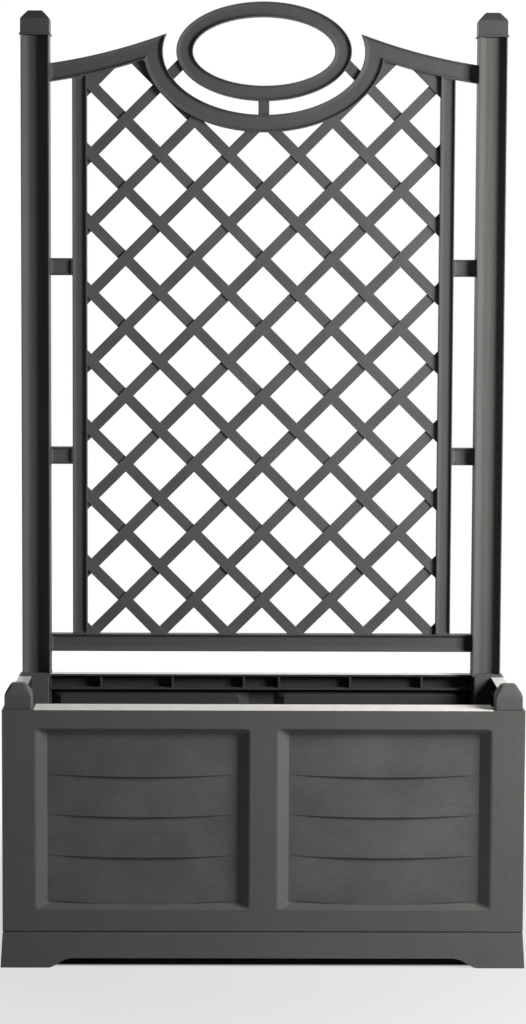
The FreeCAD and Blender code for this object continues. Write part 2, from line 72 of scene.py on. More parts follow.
def startBlock(name, low, high):
    clearSelection()
    low = Vector(low)
    high = Vector(high)
    bpy.ops.mesh.primitive_cube_add(size=1, location=(low + high) / 2)
    bpy.context.object.scale = high - low
    return named(name)


def startOutline(name, points, y):   # a flat plate in the XZ plane, one corner for each point
    clearSelection()
    bpy.ops.mesh.primitive_circle_add(vertices=len(points), fill_type="NGON")
    plate = named(name)
    for corner, (x, z) in zip(plate.data.vertices, points):
        corner.co = (x, y, z)
    return plate


def pick(piece, kind, test):
    activate(piece)
    bpy.ops.object.mode_set(mode="EDIT")
    bpy.ops.mesh.select_mode(type=kind)
    bpy.ops.mesh.select_all(action="DESELECT")
    bpy.ops.object.mode_set(mode="OBJECT")
    items = {"FACE": piece.data.polygons, "EDGE": piece.data.edges, "VERT": piece.data.vertices}[kind]
    for item in items:
        item.select = bool(test(item))
    bpy.ops.object.mode_set(mode="EDIT")


def pickAll(piece):
    pick(piece, "VERT", lambda corner: True)


def edgeMiddle(piece, edge):
    ends = [piece.data.vertices[index].co for index in edge.vertices]
    return (ends[0] + ends[1]) / 2


def push(x=0, y=0, z=0):   # extrudes what is picked
    bpy.ops.mesh.extrude_region_move(TRANSFORM_OT_translate={"value": (x, y, z)})


def resize(size, centre):
    bpy.ops.transform.resize(value=size, center_override=tuple(centre))


def facing(axis, way):
    return lambda face: face.normal[axis] * way > 0.9   # within about 25 degrees of the axis


def outward(piece):
    pickAll(piece)
    bpy.ops.mesh.remove_doubles(threshold=weld)
    bpy.ops.mesh.normals_make_consistent(inside=False)
    clearSelection()


def applyModifier(piece, kind, **settings):
    activate(piece)
    modifier = piece.modifiers.new(kind.title(), kind)
    for name, value in settings.items():
        setattr(modifier, name, value)
    bpy.ops.object.modifier_apply(modifier=modifier.name)


def roundEdges(piece, width, segments=2, angle=40):
    applyModifier(piece, "BEVEL", width=width, segments=segments, limit_method="ANGLE",
                  angle_limit=math.radians(angle), use_clamp_overlap=True)
    return piece


def joined(name, pieces):
    activate(pieces[0])
    for piece in pieces:
        piece.select_set(True)
    bpy.ops.object.join()
    return named(name)


def copyOf(piece, name, turn=0.0, mirror=False):   # with a mesh of its own, turned about Z or mirrored in X
    activate(piece)
    bpy.ops.object.duplicate()
    copy = bpy.context.object
    copy.rotation_euler = (0, 0, turn)
    copy.scale = (-1 if mirror else 1, 1, 1)
    copy = named(name)
    if mirror:
        pickAll(copy)
        bpy.ops.mesh.flip_normals()
        clearSelection()
    return copy


def softShade(piece, angle=32):
    activate(piece)
    bpy.ops.object.shade_smooth_by_angle(angle=math.radians(angle))
    applyModifier(piece, "WEIGHTED_NORMAL", keep_sharp=True)


def dress(piece, finish, body, slot, *nodes):
    softShade(piece)
    if not piece.data.materials:
        piece.data.materials.append(finish)
    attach(piece, body)
    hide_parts(*nodes)


# Finishes

class Reading:   # a socket's value; sums and products on it add Math nodes
    def __init__(self, tree, socket):
        self.tree = tree
        self.socket = socket

    def combine(self, operation, first, second):
        node = self.tree.nodes.new("ShaderNodeMath")
        node.operation = operation
        for slot, value in zip(node.inputs, (first, second)):
            if isinstance(value, Reading):
                self.tree.links.new(value.socket, slot)
            else:
                slot.default_value = value
        return Reading(self.tree, node.outputs[0])

    def __add__(self, other):
        return self.combine("ADD", self, other)

    def __mul__(self, other):
        return self.combine("MULTIPLY", self, other)


class Finish:   # a node tree that is built up node by node
    def __init__(self, tree):
        self.tree = tree
        tree.nodes.clear()

    def add(self, kind, settings, sockets, output=0):
        node = self.tree.nodes.new("ShaderNode" + kind)
        for name, value in settings.items():
            setattr(node, name, value)
        for name, value in sockets.items():
            if isinstance(value, Reading):
                self.tree.links.new(value.socket, node.inputs[name])
            else:
                node.inputs[name].default_value = value
        return Reading(self.tree, node.outputs[output]) if node.outputs else None

    def mixColours(self, share, first, second):   # inputs 6 and 7 and output 2 are the Mix node's colours
        return self.add("Mix", {"data_type": "RGBA"}, {0: share, 6: first, 7: second}, 2)


def newMaterial(name):
    material = bpy.data.materials.new(name)
    material.use_nodes = True
    return material, Finish(material.node_tree)


resin = {
    "deep": (0.094, 0.091, 0.087), "pale": (0.120, 0.117, 0.112),
    "mottleTone": 0.75, "fibreTone": 0.1, "flameTone": 0.15,
    "roughness": 0.66, "fibreRough": 0.12, "mottleRough": 0.1, "specular": 0.09, "ior": 1.48,
    "mottleScale": 14.0, "speckleScale": 900.0, "speckleRelief": 0.1, "bumpDistance": 0.0002,
}


def resinFinish(name, turn=(0, 0, 0), fibre=(260, 260, 7), flame=(26, 26, 2.6), swirl=5.0, relief=0.1,
                weights=(0.55, 0.35), clouds=1.0, shade=1.0):
    # satin anthracite resin; the grain runs along the local Z of the turned pattern
    # shade scales both colours: a copy darkened with it carries painted shade, and a copy paled with it a
    # painted reflection
    deep, pale = [[channel * shade for channel in resin[end]] + [1] for end in ("deep", "pale")]
    material, make = newMaterial(name)
    place = make.add("TexCoord", {}, {}, "Object")
    turned = make.add("Mapping", {}, {"Vector": place, "Rotation": turn})
    fibreSpace = make.add("Mapping", {}, {"Vector": turned, "Scale": fibre})
    fibres = make.add("TexNoise", {}, {"Vector": fibreSpace, "Scale": 1.0, "Detail": 3.0, "Roughness": 0.6})
    flameSpace = make.add("Mapping", {}, {"Vector": turned, "Scale": flame})
    flames = make.add("TexWave", {"wave_type": "BANDS"},
                      {"Vector": flameSpace, "Scale": 1.0, "Distortion": swirl, "Detail": 2.0,
                       "Detail Scale": 1.3}, "Fac")
    mottling = make.add("TexNoise", {}, {"Vector": place, "Scale": resin["mottleScale"], "Detail": 4.0,
                                         "Roughness": 0.55})
    speckle = make.add("TexNoise", {}, {"Vector": place, "Scale": resin["speckleScale"], "Detail": 1.0})
    evenTone = resin["mottleTone"] / 2 * (1 - clouds)   # clouds change the contrast, not the mean
    tone = (mottling * (resin["mottleTone"] * clouds) + fibres * resin["fibreTone"]
            + flames * resin["flameTone"] + evenTone)
    height = fibres * weights[0] + flames * weights[1] + speckle * resin["speckleRelief"]
    bump = make.add("Bump", {}, {"Strength": relief, "Distance": resin["bumpDistance"], "Height": height})
    evenRough = resin["roughness"] - (resin["fibreRough"] + resin["mottleRough"]) / 2
    rough = fibres * resin["fibreRough"] + mottling * resin["mottleRough"] + evenRough
    shader = make.add("BsdfPrincipled", {}, {
        "Base Color": make.mixColours(tone, deep, pale), "Roughness": rough, "Normal": bump,
        "IOR": resin["ior"], "Specular IOR Level": resin["specular"]})
    make.add("OutputMaterial", {}, {"Surface": shader})
    return material


uprightGrain = resinFinish("uprightGrainResin", fibre=(150, 150, 9), flame=(30, 30, 4), swirl=8.0,
                           relief=0.8, weights=(0.4, 0.7))
levelGrain = resinFinish("levelGrainResin", (0, quarter, 0), relief=0.15)
cornerGrain = resinFinish("cornerGrainResin", fibre=(150, 150, 9), flame=(30, 30, 4), relief=0.15)
# the next two finishes are darker copies of the grained resin: painted shade that dims the rail, the stubs
# and the stiles as less light would
paintedShadeRailGrain = resinFinish("paintedShadeRailGrainResin", (0, quarter, 0), relief=0.15, shade=0.88)
paintedShadeStileGrain = resinFinish("paintedShadeStileGrainResin", fibre=(150, 150, 9), flame=(30, 30, 4), relief=0.4, shade=0.86)
risingGrain = resinFinish("risingGrainResin", (0, -quarter / 2, 0), fibre=(420, 420, 9), relief=0.4)
fallingGrain = resinFinish("fallingGrainResin", (0, quarter / 2, 0), fibre=(420, 420, 9), relief=0.4)
plankGrain = resinFinish("plankGrainResin", (0, quarter, 0), fibre=(60, 60, 40), flame=(26, 26, 16),
                         swirl=20.0, relief=1.3, weights=(0.8, 0.35), clouds=4.0)
# the next two finishes are darker copies of the smooth resin: painted shade that dims the crest, the ring
# and the post caps as less light would
paintedShadeSmoothResin = resinFinish("paintedShadeSmoothResin", fibre=(120, 120, 120), flame=(9, 9, 9), swirl=3.0, shade=0.88)
paintedShadeCapResin = resinFinish("paintedShadeCapResin", fibre=(120, 120, 120), flame=(9, 9, 9), swirl=3.0, shade=0.78)
# a darker copy of the resin for the insides of the walls and their ribs: painted shade in the box, not a
# darker resin
paintedShadeInnerResin = resinFinish("paintedShadeInnerResin", fibre=(60, 60, 60), flame=(9, 9, 9), swirl=3.0, shade=0.5)
# a much paler copy of the resin for the tops of the rims: a painted reflection of the bright surroundings,
# not the resin's own colour
paintedReflectionRim = resinFinish("paintedReflectionRimResin", fibre=(60, 60, 60), flame=(9, 9, 9), relief=0.0, shade=7.9)
print("finishes ready")


# Places that the pieces share, all read from the frame

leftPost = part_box("screen_post_left")
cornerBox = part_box("corner_post_front_left")
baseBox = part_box("base_tray")
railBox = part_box("bottom_rail")
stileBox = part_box("stile_left")
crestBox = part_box("crest")
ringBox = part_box("oval_ring")
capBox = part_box("post_cap_left")
rim = cornerBox[1].z
skirtTop = baseBox[1].z
halfWidth = -cornerBox[0].x
halfDepth = -cornerBox[0].y
screenY = (railBox[0].y + railBox[1].y) / 2
frameDepth = railBox[1].y - railBox[0].y
bury = 0.001   # how far a slat, strut or stile end runs into the wall that holds it


# Wall panels

panel = {
    "skin": 0.003, "frameDepth": 0.020, "recessDepth": 0.0112, "seam": 0.0014,
    "endMargin": 0.0005, "topMargin": 0.026, "bottomMargin": 0.032, "mullion": 0.036,
    "sideBevel": 0.0185, "levelBevel": 0.0085, "softness": 0.001, "mitreRound": 0.004, "mitreSteps": 4,
    "slopes": ((0.07, 0.012), (0.14, 0.05), (0.21, 0.11), (0.97, 0.98), (1, 1)),
    "plankEdges": (0.2423, 0.4785, 0.7175, 0.980), "plankProud": 0.004, "plankBow": 0.0037,
    "lastProud": 0.003, "lastBow": 0.008, "plankEndShare": 0.03, "plankSteps": 28, "faceSteps": 5,
    "lipRound": 0.0008, "lipShare": 0.4, "lipCorner": 0.3,
    "frontFlange": 0.055, "ribDrop": 0.021, "ribWall": 0.003, "ribSoftness": 0.0004,
    "gussetFirst": 0.027, "gussetPitch": 0.110, "gussetPairs": 3,
}
panelFinishes = (levelGrain, plankGrain, paintedReflectionRim, paintedShadeInnerResin)


def plankSection(crown, top, bottom, floor, kind):
    # the outline of one board, from its buried back over its face and lip and back again
    proud = panel[kind + "Proud"] * crown
    low = bottom - panel[kind + "Bow"] * crown
    lip = min(panel["lipRound"], proud * panel["lipShare"])
    corner = lip * panel["lipCorner"]
    back = floor + panel["skin"] / 3
    steps = panel["faceSteps"]
    face = [(floor - proud * step / steps, top + (low + lip - top) * step / steps)
            for step in range(steps + 1)]
    under = [(floor - proud + corner, low + corner), (floor - proud + lip, low), (back, bottom)]
    return [(back, top)] + face + under + [(back, top)]


def makePlank(left, right, top, bottom, floor, kind):
    clearSelection()
    rows = len(plankSection(1, top, bottom, floor, kind))
    bpy.ops.mesh.primitive_grid_add(x_subdivisions=panel["plankSteps"], y_subdivisions=rows - 1, size=1)
    board = named("plank")
    for corner in board.data.vertices:
        along = corner.co.x + 0.5
        row = round((corner.co.y + 0.5) * (rows - 1))
        crown = panel["plankEndShare"] + (1 - panel["plankEndShare"]) * (1 - (2 * along - 1) ** 2)
        y, z = plankSection(crown, top, bottom, floor, kind)[row]
        corner.co = (left + (right - left) * along, y, z)
    pickAll(board)
    bpy.ops.mesh.remove_doubles(threshold=weld)
    bpy.ops.mesh.fill_holes(sides=0)
    outward(board)
    board.data.materials.append(plankGrain)
    return board


def isMitre(sheet, edge):   # the slanted edges where the four slopes of a recess meet
    ends = [sheet.data.vertices[index].co for index in edge.vertices]
    return min(abs(ends[0].x - ends[1].x), abs(ends[0].z - ends[1].z)) > close


def cutRecess(sheet, left, right, low, top, floor):   # sinks one field in steps, along its slopes
    middle = Vector(((left + right) / 2, floor, (low + top) / 2))
    pick(sheet, "FACE", lambda part: left < part.center.x < right and low < part.center.z < top)
    wide = right - left
    tall = top - low
    now = (wide, tall)
    sunk = 0
    for share, depth in panel["slopes"]:
        push(y=(depth - sunk) * panel["recessDepth"])
        then = (wide - 2 * share * panel["sideBevel"], tall - 2 * share * panel["levelBevel"])
        resize((then[0] / now[0], 1, then[1] / now[1]), middle)
        now, sunk = then, depth


def recessPlanks(left, right, low, top, floor):   # the boards of one field, from the top down
    high = top - panel["levelBevel"]
    tall = top - low - 2 * panel["levelBevel"]
    planks = []
    start = high
    for share in panel["plankEdges"]:
        end = high - share * tall
        kind = "last" if share == panel["plankEdges"][-1] else "plank"
        planks.append(makePlank(left + panel["sideBevel"], right - panel["sideBevel"], start, end, floor,
                                kind))
        start = end
    return planks


def panelRibs(half, face, foot, gussets):   # the rib under the rim, the two ends, and the gussets
    inner = face + panel["skin"] / 2
    back = face + panel["frameDepth"]
    ribTop = rim - panel["ribDrop"]
    underRim = rim - panel["skin"] / 2
    wall = panel["ribWall"]
    blocks = [((-half, inner, ribTop - wall), (half, back, ribTop))]
    for end in (-half, half - panel["skin"]):
        blocks.append(((end, inner, foot), (end + panel["skin"], back, underRim)))
    for place in gussets:
        x = place - wall / 2
        blocks.append(((x, inner, ribTop - wall / 2), (x + wall, back, underRim)))
    ribs = [roundEdges(startBlock("rib", low, high), panel["ribSoftness"]) for low, high in blocks]
    # the ribs take the darker inside copy of the resin, painted shade
    for rib in ribs:
        rib.data.materials.append(paintedShadeInnerResin)
    return ribs


def paintPanel(wall, face):   # a painted reflection along the rim, painted shade on the inside, and grain on the rest
    rimBand = 0.0002
    leansBack = 0.3   # the least that an inner face's normal turns to the back
    upright = 0.05   # the most that a rib's or a gusset's side face may lean
    deep = face + 2 * panel["skin"]
    upward = facing(2, 1)
    for part in wall.data.polygons:
        # the pale tops of the rims carry a painted reflection, and the darker inside faces carry painted
        # shade
        onRim = part.center.z > rim - rimBand and upward(part)
        inside = part.normal.y > leansBack or (part.center.y > deep and abs(part.normal.y) < upright)
        finish = paintedReflectionRim if onRim else paintedShadeInnerResin if inside else levelGrain
        if panelFinishes[part.material_index] != plankGrain:   # the boards keep their own finish
            part.material_index = panelFinishes.index(finish)


def makePanel(name, half, face, fields, flange, gussets):
    clearSelection()
    foot = skirtTop + panel["seam"]
    bpy.ops.mesh.primitive_plane_add(size=1, location=(0, face, (foot + rim) / 2), rotation=(quarter, 0, 0))
    bpy.context.object.scale = (2 * half, rim - foot, 1)
    sheet = named(name)
    top = rim - panel["topMargin"]
    low = skirtTop + panel["bottomMargin"]
    floor = face + panel["recessDepth"]
    cuts = [(Vector((x, 0, 0)), Vector((1, 0, 0))) for field in fields for x in field]
    cuts += [(Vector((0, 0, z)), Vector((0, 0, 1))) for z in (low, top)]
    for place, normal in cuts:
        pickAll(sheet)
        bpy.ops.mesh.bisect(plane_co=place, plane_no=normal)
    planks = []
    for left, right in fields:
        cutRecess(sheet, left, right, low, top, floor)
        planks += recessPlanks(left, right, low, top, floor)
    for z, depth in ((rim, flange), (foot, panel["frameDepth"])):
        pick(sheet, "EDGE", lambda edge: abs(edgeMiddle(sheet, edge).z - z) < close)
        push(y=depth)
    pick(sheet, "EDGE", lambda edge: isMitre(sheet, edge))
    bpy.ops.mesh.bevel(offset=panel["mitreRound"], segments=panel["mitreSteps"], affect="EDGES")
    outward(sheet)
    if not any(facing(1, -1)(part) for part in sheet.data.polygons):   # an open sheet can come out reversed
        pickAll(sheet)
        bpy.ops.mesh.flip_normals()
    roundEdges(sheet, panel["softness"], angle=50)
    applyModifier(sheet, "SOLIDIFY", thickness=panel["skin"], offset=-1)
    for finish in panelFinishes:
        sheet.data.materials.append(finish)
    wall = joined(name, [sheet] + planks + panelRibs(half, face, foot, gussets))
    paintPanel(wall, face)
    return wall


def makePanels():
    longHalf = -cornerBox[1].x
    shortHalf = -cornerBox[1].y
    outer = longHalf - panel["endMargin"]
    longFields = [(-outer, -panel["mullion"] / 2), (panel["mullion"] / 2, outer)]
    short = shortHalf - panel["endMargin"]
    places = [side * (panel["gussetFirst"] + step * panel["gussetPitch"])
              for step in range(panel["gussetPairs"]) for side in (1, -1)]
    narrow = panel["frameDepth"]
    front = makePanel("frontPanel", longHalf, -halfDepth, longFields, panel["frontFlange"], places)
    back = makePanel("backPanel", longHalf, -halfDepth, longFields, narrow, places)
    left = makePanel("leftPanel", shortHalf, -halfWidth, [(-short, short)], narrow, places[:2])
    right = copyOf(left, "rightPanel", turn=quarter)
    for piece, turn in ((back, 180), (left, -90)):
        activate(piece)
        piece.rotation_euler = (0, 0, math.radians(turn))
        named(piece.name)
    for piece, node in ((front, "front_panel"), (back, "back_panel"), (left, "left_panel"),
                        (right, "right_panel")):
        dress(piece, levelGrain, "planter", "planter_resin", node)
    print("wall panels done")


makePanels()


# Base

base = {
    "flare": 0.003, "wall": 0.004, "deck": 0.004, "softness": 0.0012,
    "footLength": 0.068, "archHeight": 0.014, "archRun": 0.040, "archSteps": 12,
    "ribWall": 0.003, "ribDepth": 0.010, "ribBury": 0.0005, "ribSoftness": 0.0006,
    "baysLong": 6, "baysDeep": 3, "drainRadius": 0.006, "drainSteps": 32,
}


def archLift(distance):   # how high the skirt's lower edge is, this far from the end of the box
    share = min(1, max(0, (distance - base["footLength"]) / base["archRun"]))
    return base["archHeight"] * (1 - (1 - share) ** 3 * (1 + 3 * share))


def makeSkirt():
    low, high = baseBox
    skirt = startBlock("skirt", low, high)
    pick(skirt, "FACE", facing(2, 1))
    resize((1 - 2 * base["flare"] / (high.x - low.x), 1 - 2 * base["flare"] / (high.y - low.y), 1),
           (0, 0, high.z))
    pick(skirt, "FACE", facing(2, -1))
    bpy.ops.mesh.delete(type="FACE")
    for axis, reach in ((0, high.x), (1, high.y)):
        normal = Vector((0, 0, 0))
        normal[axis] = 1
        for side in (-1, 1):
            for step in range(base["archSteps"] + 1):
                inset = base["footLength"] + base["archRun"] * step / base["archSteps"]
                pickAll(skirt)
                bpy.ops.mesh.bisect(plane_co=normal * side * (reach - inset), plane_no=normal)
    clearSelection()
    for corner in skirt.data.vertices:
        if corner.co.z < low.z + close:
            alongX = archLift(high.x - abs(corner.co.x))
            alongY = archLift(high.y - abs(corner.co.y))
            corner.co.z += max(alongX, alongY)
    roundEdges(skirt, base["softness"], segments=3, angle=50)
    applyModifier(skirt, "SOLIDIFY", thickness=base["wall"], offset=-1)
    return skirt


def drillDrains(skirt):   # a hole in each bay of the deck but the two at its ends
    holes = []
    for bay in range(1, base["baysLong"] - 1):
        x = 2 * halfWidth * (bay + 0.5) / base["baysLong"] - halfWidth
        clearSelection()
        bpy.ops.mesh.primitive_cylinder_add(vertices=base["drainSteps"], radius=base["drainRadius"],
                                            depth=4 * base["deck"], location=(x, 0, skirtTop))
        holes.append(named("drainHole"))
    cutter = joined("drainHoles", holes)
    applyModifier(skirt, "BOOLEAN", operation="DIFFERENCE", object=cutter, solver="EXACT")
    bpy.data.objects.remove(cutter)


def baseRibs(floor):   # the ribs under the deck and the four blocks in the feet
    under = skirtTop - base["deck"] + base["ribBury"]
    ribLow = under - base["ribDepth"]
    inX = halfWidth - base["wall"]
    inY = halfDepth - base["wall"]
    thin = base["ribWall"] / 2
    blocks = []
    for bay in range(1, base["baysLong"]):
        x = 2 * halfWidth * bay / base["baysLong"] - halfWidth
        blocks.append(((x - thin, -inY, ribLow), (x + thin, inY, under)))
    for bay in range(1, base["baysDeep"]):
        y = 2 * halfDepth * bay / base["baysDeep"] - halfDepth
        blocks.append(((-inX, y - thin, ribLow), (inX, y + thin, under)))
    for sideX in (-1, 1):
        for sideY in (-1, 1):
            xs = sorted((sideX * inX, sideX * (halfWidth - base["footLength"])))
            ys = sorted((sideY * inY, sideY * (halfDepth - base["footLength"])))
            blocks.append(((xs[0], ys[0], floor), (xs[1], ys[1], under)))
    return [roundEdges(startBlock("baseRib", *corners), base["ribSoftness"]) for corners in blocks]


def makeBase():
    floor = baseBox[0].z
    skirt = makeSkirt()
    drillDrains(skirt)
    tray = joined("baseTray", [skirt] + baseRibs(floor))
    for corner in tray.data.vertices:
        corner.co.z = max(corner.co.z, floor)
    dress(tray, levelGrain, "planter", "planter_resin", "base_tray")
    print("base done")


makeBase()


# Corner posts and the caps on the two front ones

cornerPost = {"socket": 0.0266, "socketDeep": 0.100, "softness": 0.0003}
frontCap = {
    "bevelHeight": 0.014, "bevelInset": 0.009, "bevelRound": 0.004, "bevelSteps": 5,
    "plug": 0.026, "softness": 0.0009,
}


def makeCornerPosts():
    low, high = cornerBox
    post = startBlock("cornerPostFrontLeft", (low.x, low.y, low.z + panel["seam"]), high)
    pick(post, "FACE", facing(2, 1))
    bpy.ops.mesh.inset(thickness=(high.x - low.x - cornerPost["socket"]) / 2)
    push(z=-cornerPost["socketDeep"])
    clearSelection()
    roundEdges(post, cornerPost["softness"], segments=3)
    right = copyOf(post, "cornerPostFrontRight", mirror=True)
    rearRight = copyOf(post, "cornerPostRearRight", turn=math.radians(180))
    rearLeft = copyOf(right, "cornerPostRearLeft", turn=math.radians(180))
    for piece, node in ((post, "front_left"), (right, "front_right"), (rearLeft, "rear_left"),
                        (rearRight, "rear_right")):
        dress(piece, cornerGrain, "planter", "planter_resin", "corner_post_" + node)
    print("corner posts done")


def bevelledBlock(name, low, high, shape):   # a block whose top slopes in on four sides, softly rounded
    shoulder = high[2] - shape["bevelHeight"]
    cap = startBlock(name, low, (high[0], high[1], shoulder))
    pick(cap, "FACE", facing(2, 1))
    push(z=shape["bevelHeight"])
    shrink = 1 - 2 * shape["bevelInset"] / (high[0] - low[0])
    resize((shrink, shrink, 1), ((low[0] + high[0]) / 2, (low[1] + high[1]) / 2, high[2]))
    pick(cap, "EDGE", lambda edge: edgeMiddle(cap, edge).z > shoulder - close)
    bpy.ops.mesh.bevel(offset=shape["bevelRound"], segments=shape["bevelSteps"], affect="EDGES")
    clearSelection()
    return roundEdges(cap, shape["softness"], segments=3, angle=25)


def makeFrontCaps():
    low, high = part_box("front_cap_left")
    cap = bevelledBlock("frontCapLeft", (low.x, low.y, rim), high, frontCap)
    middleX = (cornerBox[0].x + cornerBox[1].x) / 2
    middleY = (cornerBox[0].y + cornerBox[1].y) / 2
    reach = frontCap["plug"] / 2
    plug = startBlock("frontCapPlug", (middleX - reach, middleY - reach, low.z),
                      (middleX + reach, middleY + reach, rim))
    roundEdges(plug, frontCap["softness"])
    cap = joined("frontCapLeft", [cap, plug])
    other = copyOf(cap, "frontCapRight", mirror=True)
    dress(cap, cornerGrain, "front_cap_left", "planter_resin", "front_cap_left")
    dress(other, cornerGrain, "front_cap_right", "planter_resin", "front_cap_right")
    print("front caps done")


makeCornerPosts()
makeFrontCaps()


# Screen posts and their caps

screenPost = {
    "side": 0.0425, "wall": 0.0016, "web": 0.017, "collar": 0.004, "tenon": 0.026, "softness": 0.0006,
    "cove": 0.012, "coveSteps": 8,
}
postCap = {
    "bevelHeight": 0.012, "bevelInset": 0.011, "bevelRound": 0.002, "bevelSteps": 5,
    "overhang": 0.0005, "lip": 0.003, "tongue": 0.018, "tongueThick": 0.008, "fit": 0.0003,
    "softness": 0.0008,
}
postMiddleX = (capBox[0].x + capBox[1].x) / 2
postTop = leftPost[1].z


def makeScreenPosts():
    half = screenPost["side"] / 2
    web = screenPost["web"] / 2
    foot = rim + screenPost["collar"]
    clearSelection()
    bpy.ops.mesh.primitive_plane_add(size=screenPost["side"], location=(postMiddleX, screenY, foot))
    shaft = named("postShaft")
    inside = half - screenPost["wall"]
    for axis, middle, reach in ((0, postMiddleX, inside), (1, screenY, web)):
        normal = Vector((0, 0, 0))
        normal[axis] = 1
        for side in (-1, 1):
            pickAll(shaft)
            bpy.ops.mesh.bisect(plane_co=normal * (middle + side * reach), plane_no=normal)
    pick(shaft, "FACE", lambda part: abs(part.center.x - postMiddleX) < inside / 2
         and abs(part.center.y - screenY) > web)
    bpy.ops.mesh.delete(type="FACE")
    pickAll(shaft)
    push(z=postTop - foot)
    outward(shaft)
    pick(shaft, "EDGE", lambda edge: abs(abs(edgeMiddle(shaft, edge).x - postMiddleX) - inside) < close
         and abs(abs(edgeMiddle(shaft, edge).y - screenY) - web) < close)
    bpy.ops.mesh.bevel(offset=screenPost["cove"], segments=screenPost["coveSteps"], affect="EDGES")
    roundEdges(shaft, screenPost["softness"])
    collarLow = (leftPost[0].x, leftPost[0].y, rim)
    collarHigh = (postMiddleX * 2 - leftPost[0].x, screenY + half, foot)
    collar = roundEdges(startBlock("postCollar", collarLow, collarHigh), screenPost["softness"])
    middleX = (cornerBox[0].x + cornerBox[1].x) / 2
    middleY = -(cornerBox[0].y + cornerBox[1].y) / 2
    reach = screenPost["tenon"] / 2
    tenon = startBlock("postTenon", (middleX - reach, middleY - reach, leftPost[0].z),
                       (middleX + reach, middleY + reach, rim))
    roundEdges(tenon, screenPost["softness"])
    left = joined("screenPostLeft", [shaft, collar, tenon])
    right = copyOf(left, "screenPostRight", mirror=True)
    dress(left, uprightGrain, "screen", "screen_resin", "screen_post_left")
    dress(right, uprightGrain, "screen", "screen_resin", "screen_post_right")
    print("screen posts done")


def makePostCaps():
    low, high = capBox
    half = screenPost["side"] / 2 + postCap["overhang"]
    cap = bevelledBlock("postCapLeft", (postMiddleX - half, screenY - half, postTop),
                        (postMiddleX + half, screenY + half, high.z), postCap)
    lip = startBlock("postCapLip", (low.x, low.y, postTop), (high.x, high.y, postTop + postCap["lip"]))
    parts = [cap, roundEdges(lip, postCap["softness"])]
    wide = screenPost["side"] / 2 - screenPost["wall"] - screenPost["cove"] - postCap["fit"]
    near = screenPost["web"] / 2 + postCap["fit"]
    tongue = startBlock("postCapTongue", (postMiddleX - wide, screenY + near, postTop - postCap["tongue"]),
                        (postMiddleX + wide, screenY + near + postCap["tongueThick"], postTop))
    cap = joined("postCapLeft", parts + [roundEdges(tongue, postCap["softness"])])
    other = copyOf(cap, "postCapRight", mirror=True)
    # the post caps take a darker copy of the resin, painted shade
    dress(cap, paintedShadeCapResin, "post_cap_left", "screen_resin", "post_cap_left")
    dress(other, paintedShadeCapResin, "post_cap_right", "screen_resin", "post_cap_right")
    print("post caps done")


makeScreenPosts()
makePostCaps()


# Screen frame: straight members with a groove sunk into the front and the back

member = {
    "wall": 0.0018, "web": 0.010, "softness": 0.0005, "cove": 0.0035, "coveWide": 0.006, "coveSteps": 5,
}


def grooveSteps(depth):   # inset and depth down a straight wall that meets its floor in a cove
    turns = [quarter * step / member["coveSteps"] for step in range(member["coveSteps"] + 1)]
    return [(member["wall"] + member["coveWide"] * (1 - math.cos(turn)),
             depth - member["cove"] * (1 - math.sin(turn))) for turn in turns]


def sinkGrooves(piece, depth):
    for way in (-1, 1):
        pick(piece, "FACE", facing(1, way))
        inset, sunk = 0, 0
        for wall, down in [(member["wall"], 0)] + grooveSteps((depth - member["web"]) / 2):
            if wall - inset < weld:
                push(y=-way * (down - sunk))
            else:
                bpy.ops.mesh.inset(thickness=wall - inset, depth=sunk - down)
            inset, sunk = wall, down
    clearSelection()
    roundEdges(piece, member["softness"])


def makeMember(name, node, finish, stretch=None):
    low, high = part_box(node)
    bar = startBlock(name, low, high)
    if stretch:
        for corner in bar.data.vertices:
            stretch(corner)
    sinkGrooves(bar, high.y - low.y)
    dress(bar, finish, "screen", "screen_resin", node)


# Crest, oval ring and the outline that the lattice is trimmed to

crest = {
    "railHeight": 0.027, "railDrop": 0.0465, "wingReach": 0.130, "wingRise": 0.052, "wingSag": 0.006,
    "bandWidth": 0.029, "bandHeight": 0.026, "innerHalfWidth": 0.153, "innerHalfHeight": 0.095,
    "wingSteps": 14, "bowlSteps": 72,
}
ring = {
    "gapWidth": 0.0205, "gapHeight": 0.021, "bandWidth": 0.025, "bandHeight": 0.0225,
    "steps": 112, "strutWide": 0.0165, "strutThick": 0.008, "strutShare": 0.8,
}
ringHalf = (crest["innerHalfWidth"] - ring["gapWidth"], crest["innerHalfHeight"] - ring["gapHeight"])
innerHalf = (crest["innerHalfWidth"], crest["innerHalfHeight"])
outerHalf = (innerHalf[0] + crest["bandWidth"], innerHalf[1] + crest["bandHeight"])
ringZ = ringBox[1].z - ringHalf[1]
topRailZ = ringZ - crest["railDrop"]


def arcThrough(start, middle, end):   # the arc through three points, as a function of the share along it
    (ax, az), (bx, bz), (cx, cz) = start, middle, end
    area = 2 * (ax * (bz - cz) + bx * (cz - az) + cx * (az - bz))
    squares = [x * x + z * z for x, z in (start, middle, end)]
    hubX = (squares[0] * (bz - cz) + squares[1] * (cz - az) + squares[2] * (az - bz)) / area
    hubZ = (squares[0] * (cx - bx) + squares[1] * (ax - cx) + squares[2] * (bx - ax)) / area
    radius = math.hypot(ax - hubX, az - hubZ)
    first = math.atan2(az - hubZ, ax - hubX)
    turn = math.atan2(cz - hubZ, cx - hubX) - first
    return lambda share: (hubX + radius * math.cos(first + turn * share),
                          hubZ + radius * math.sin(first + turn * share))


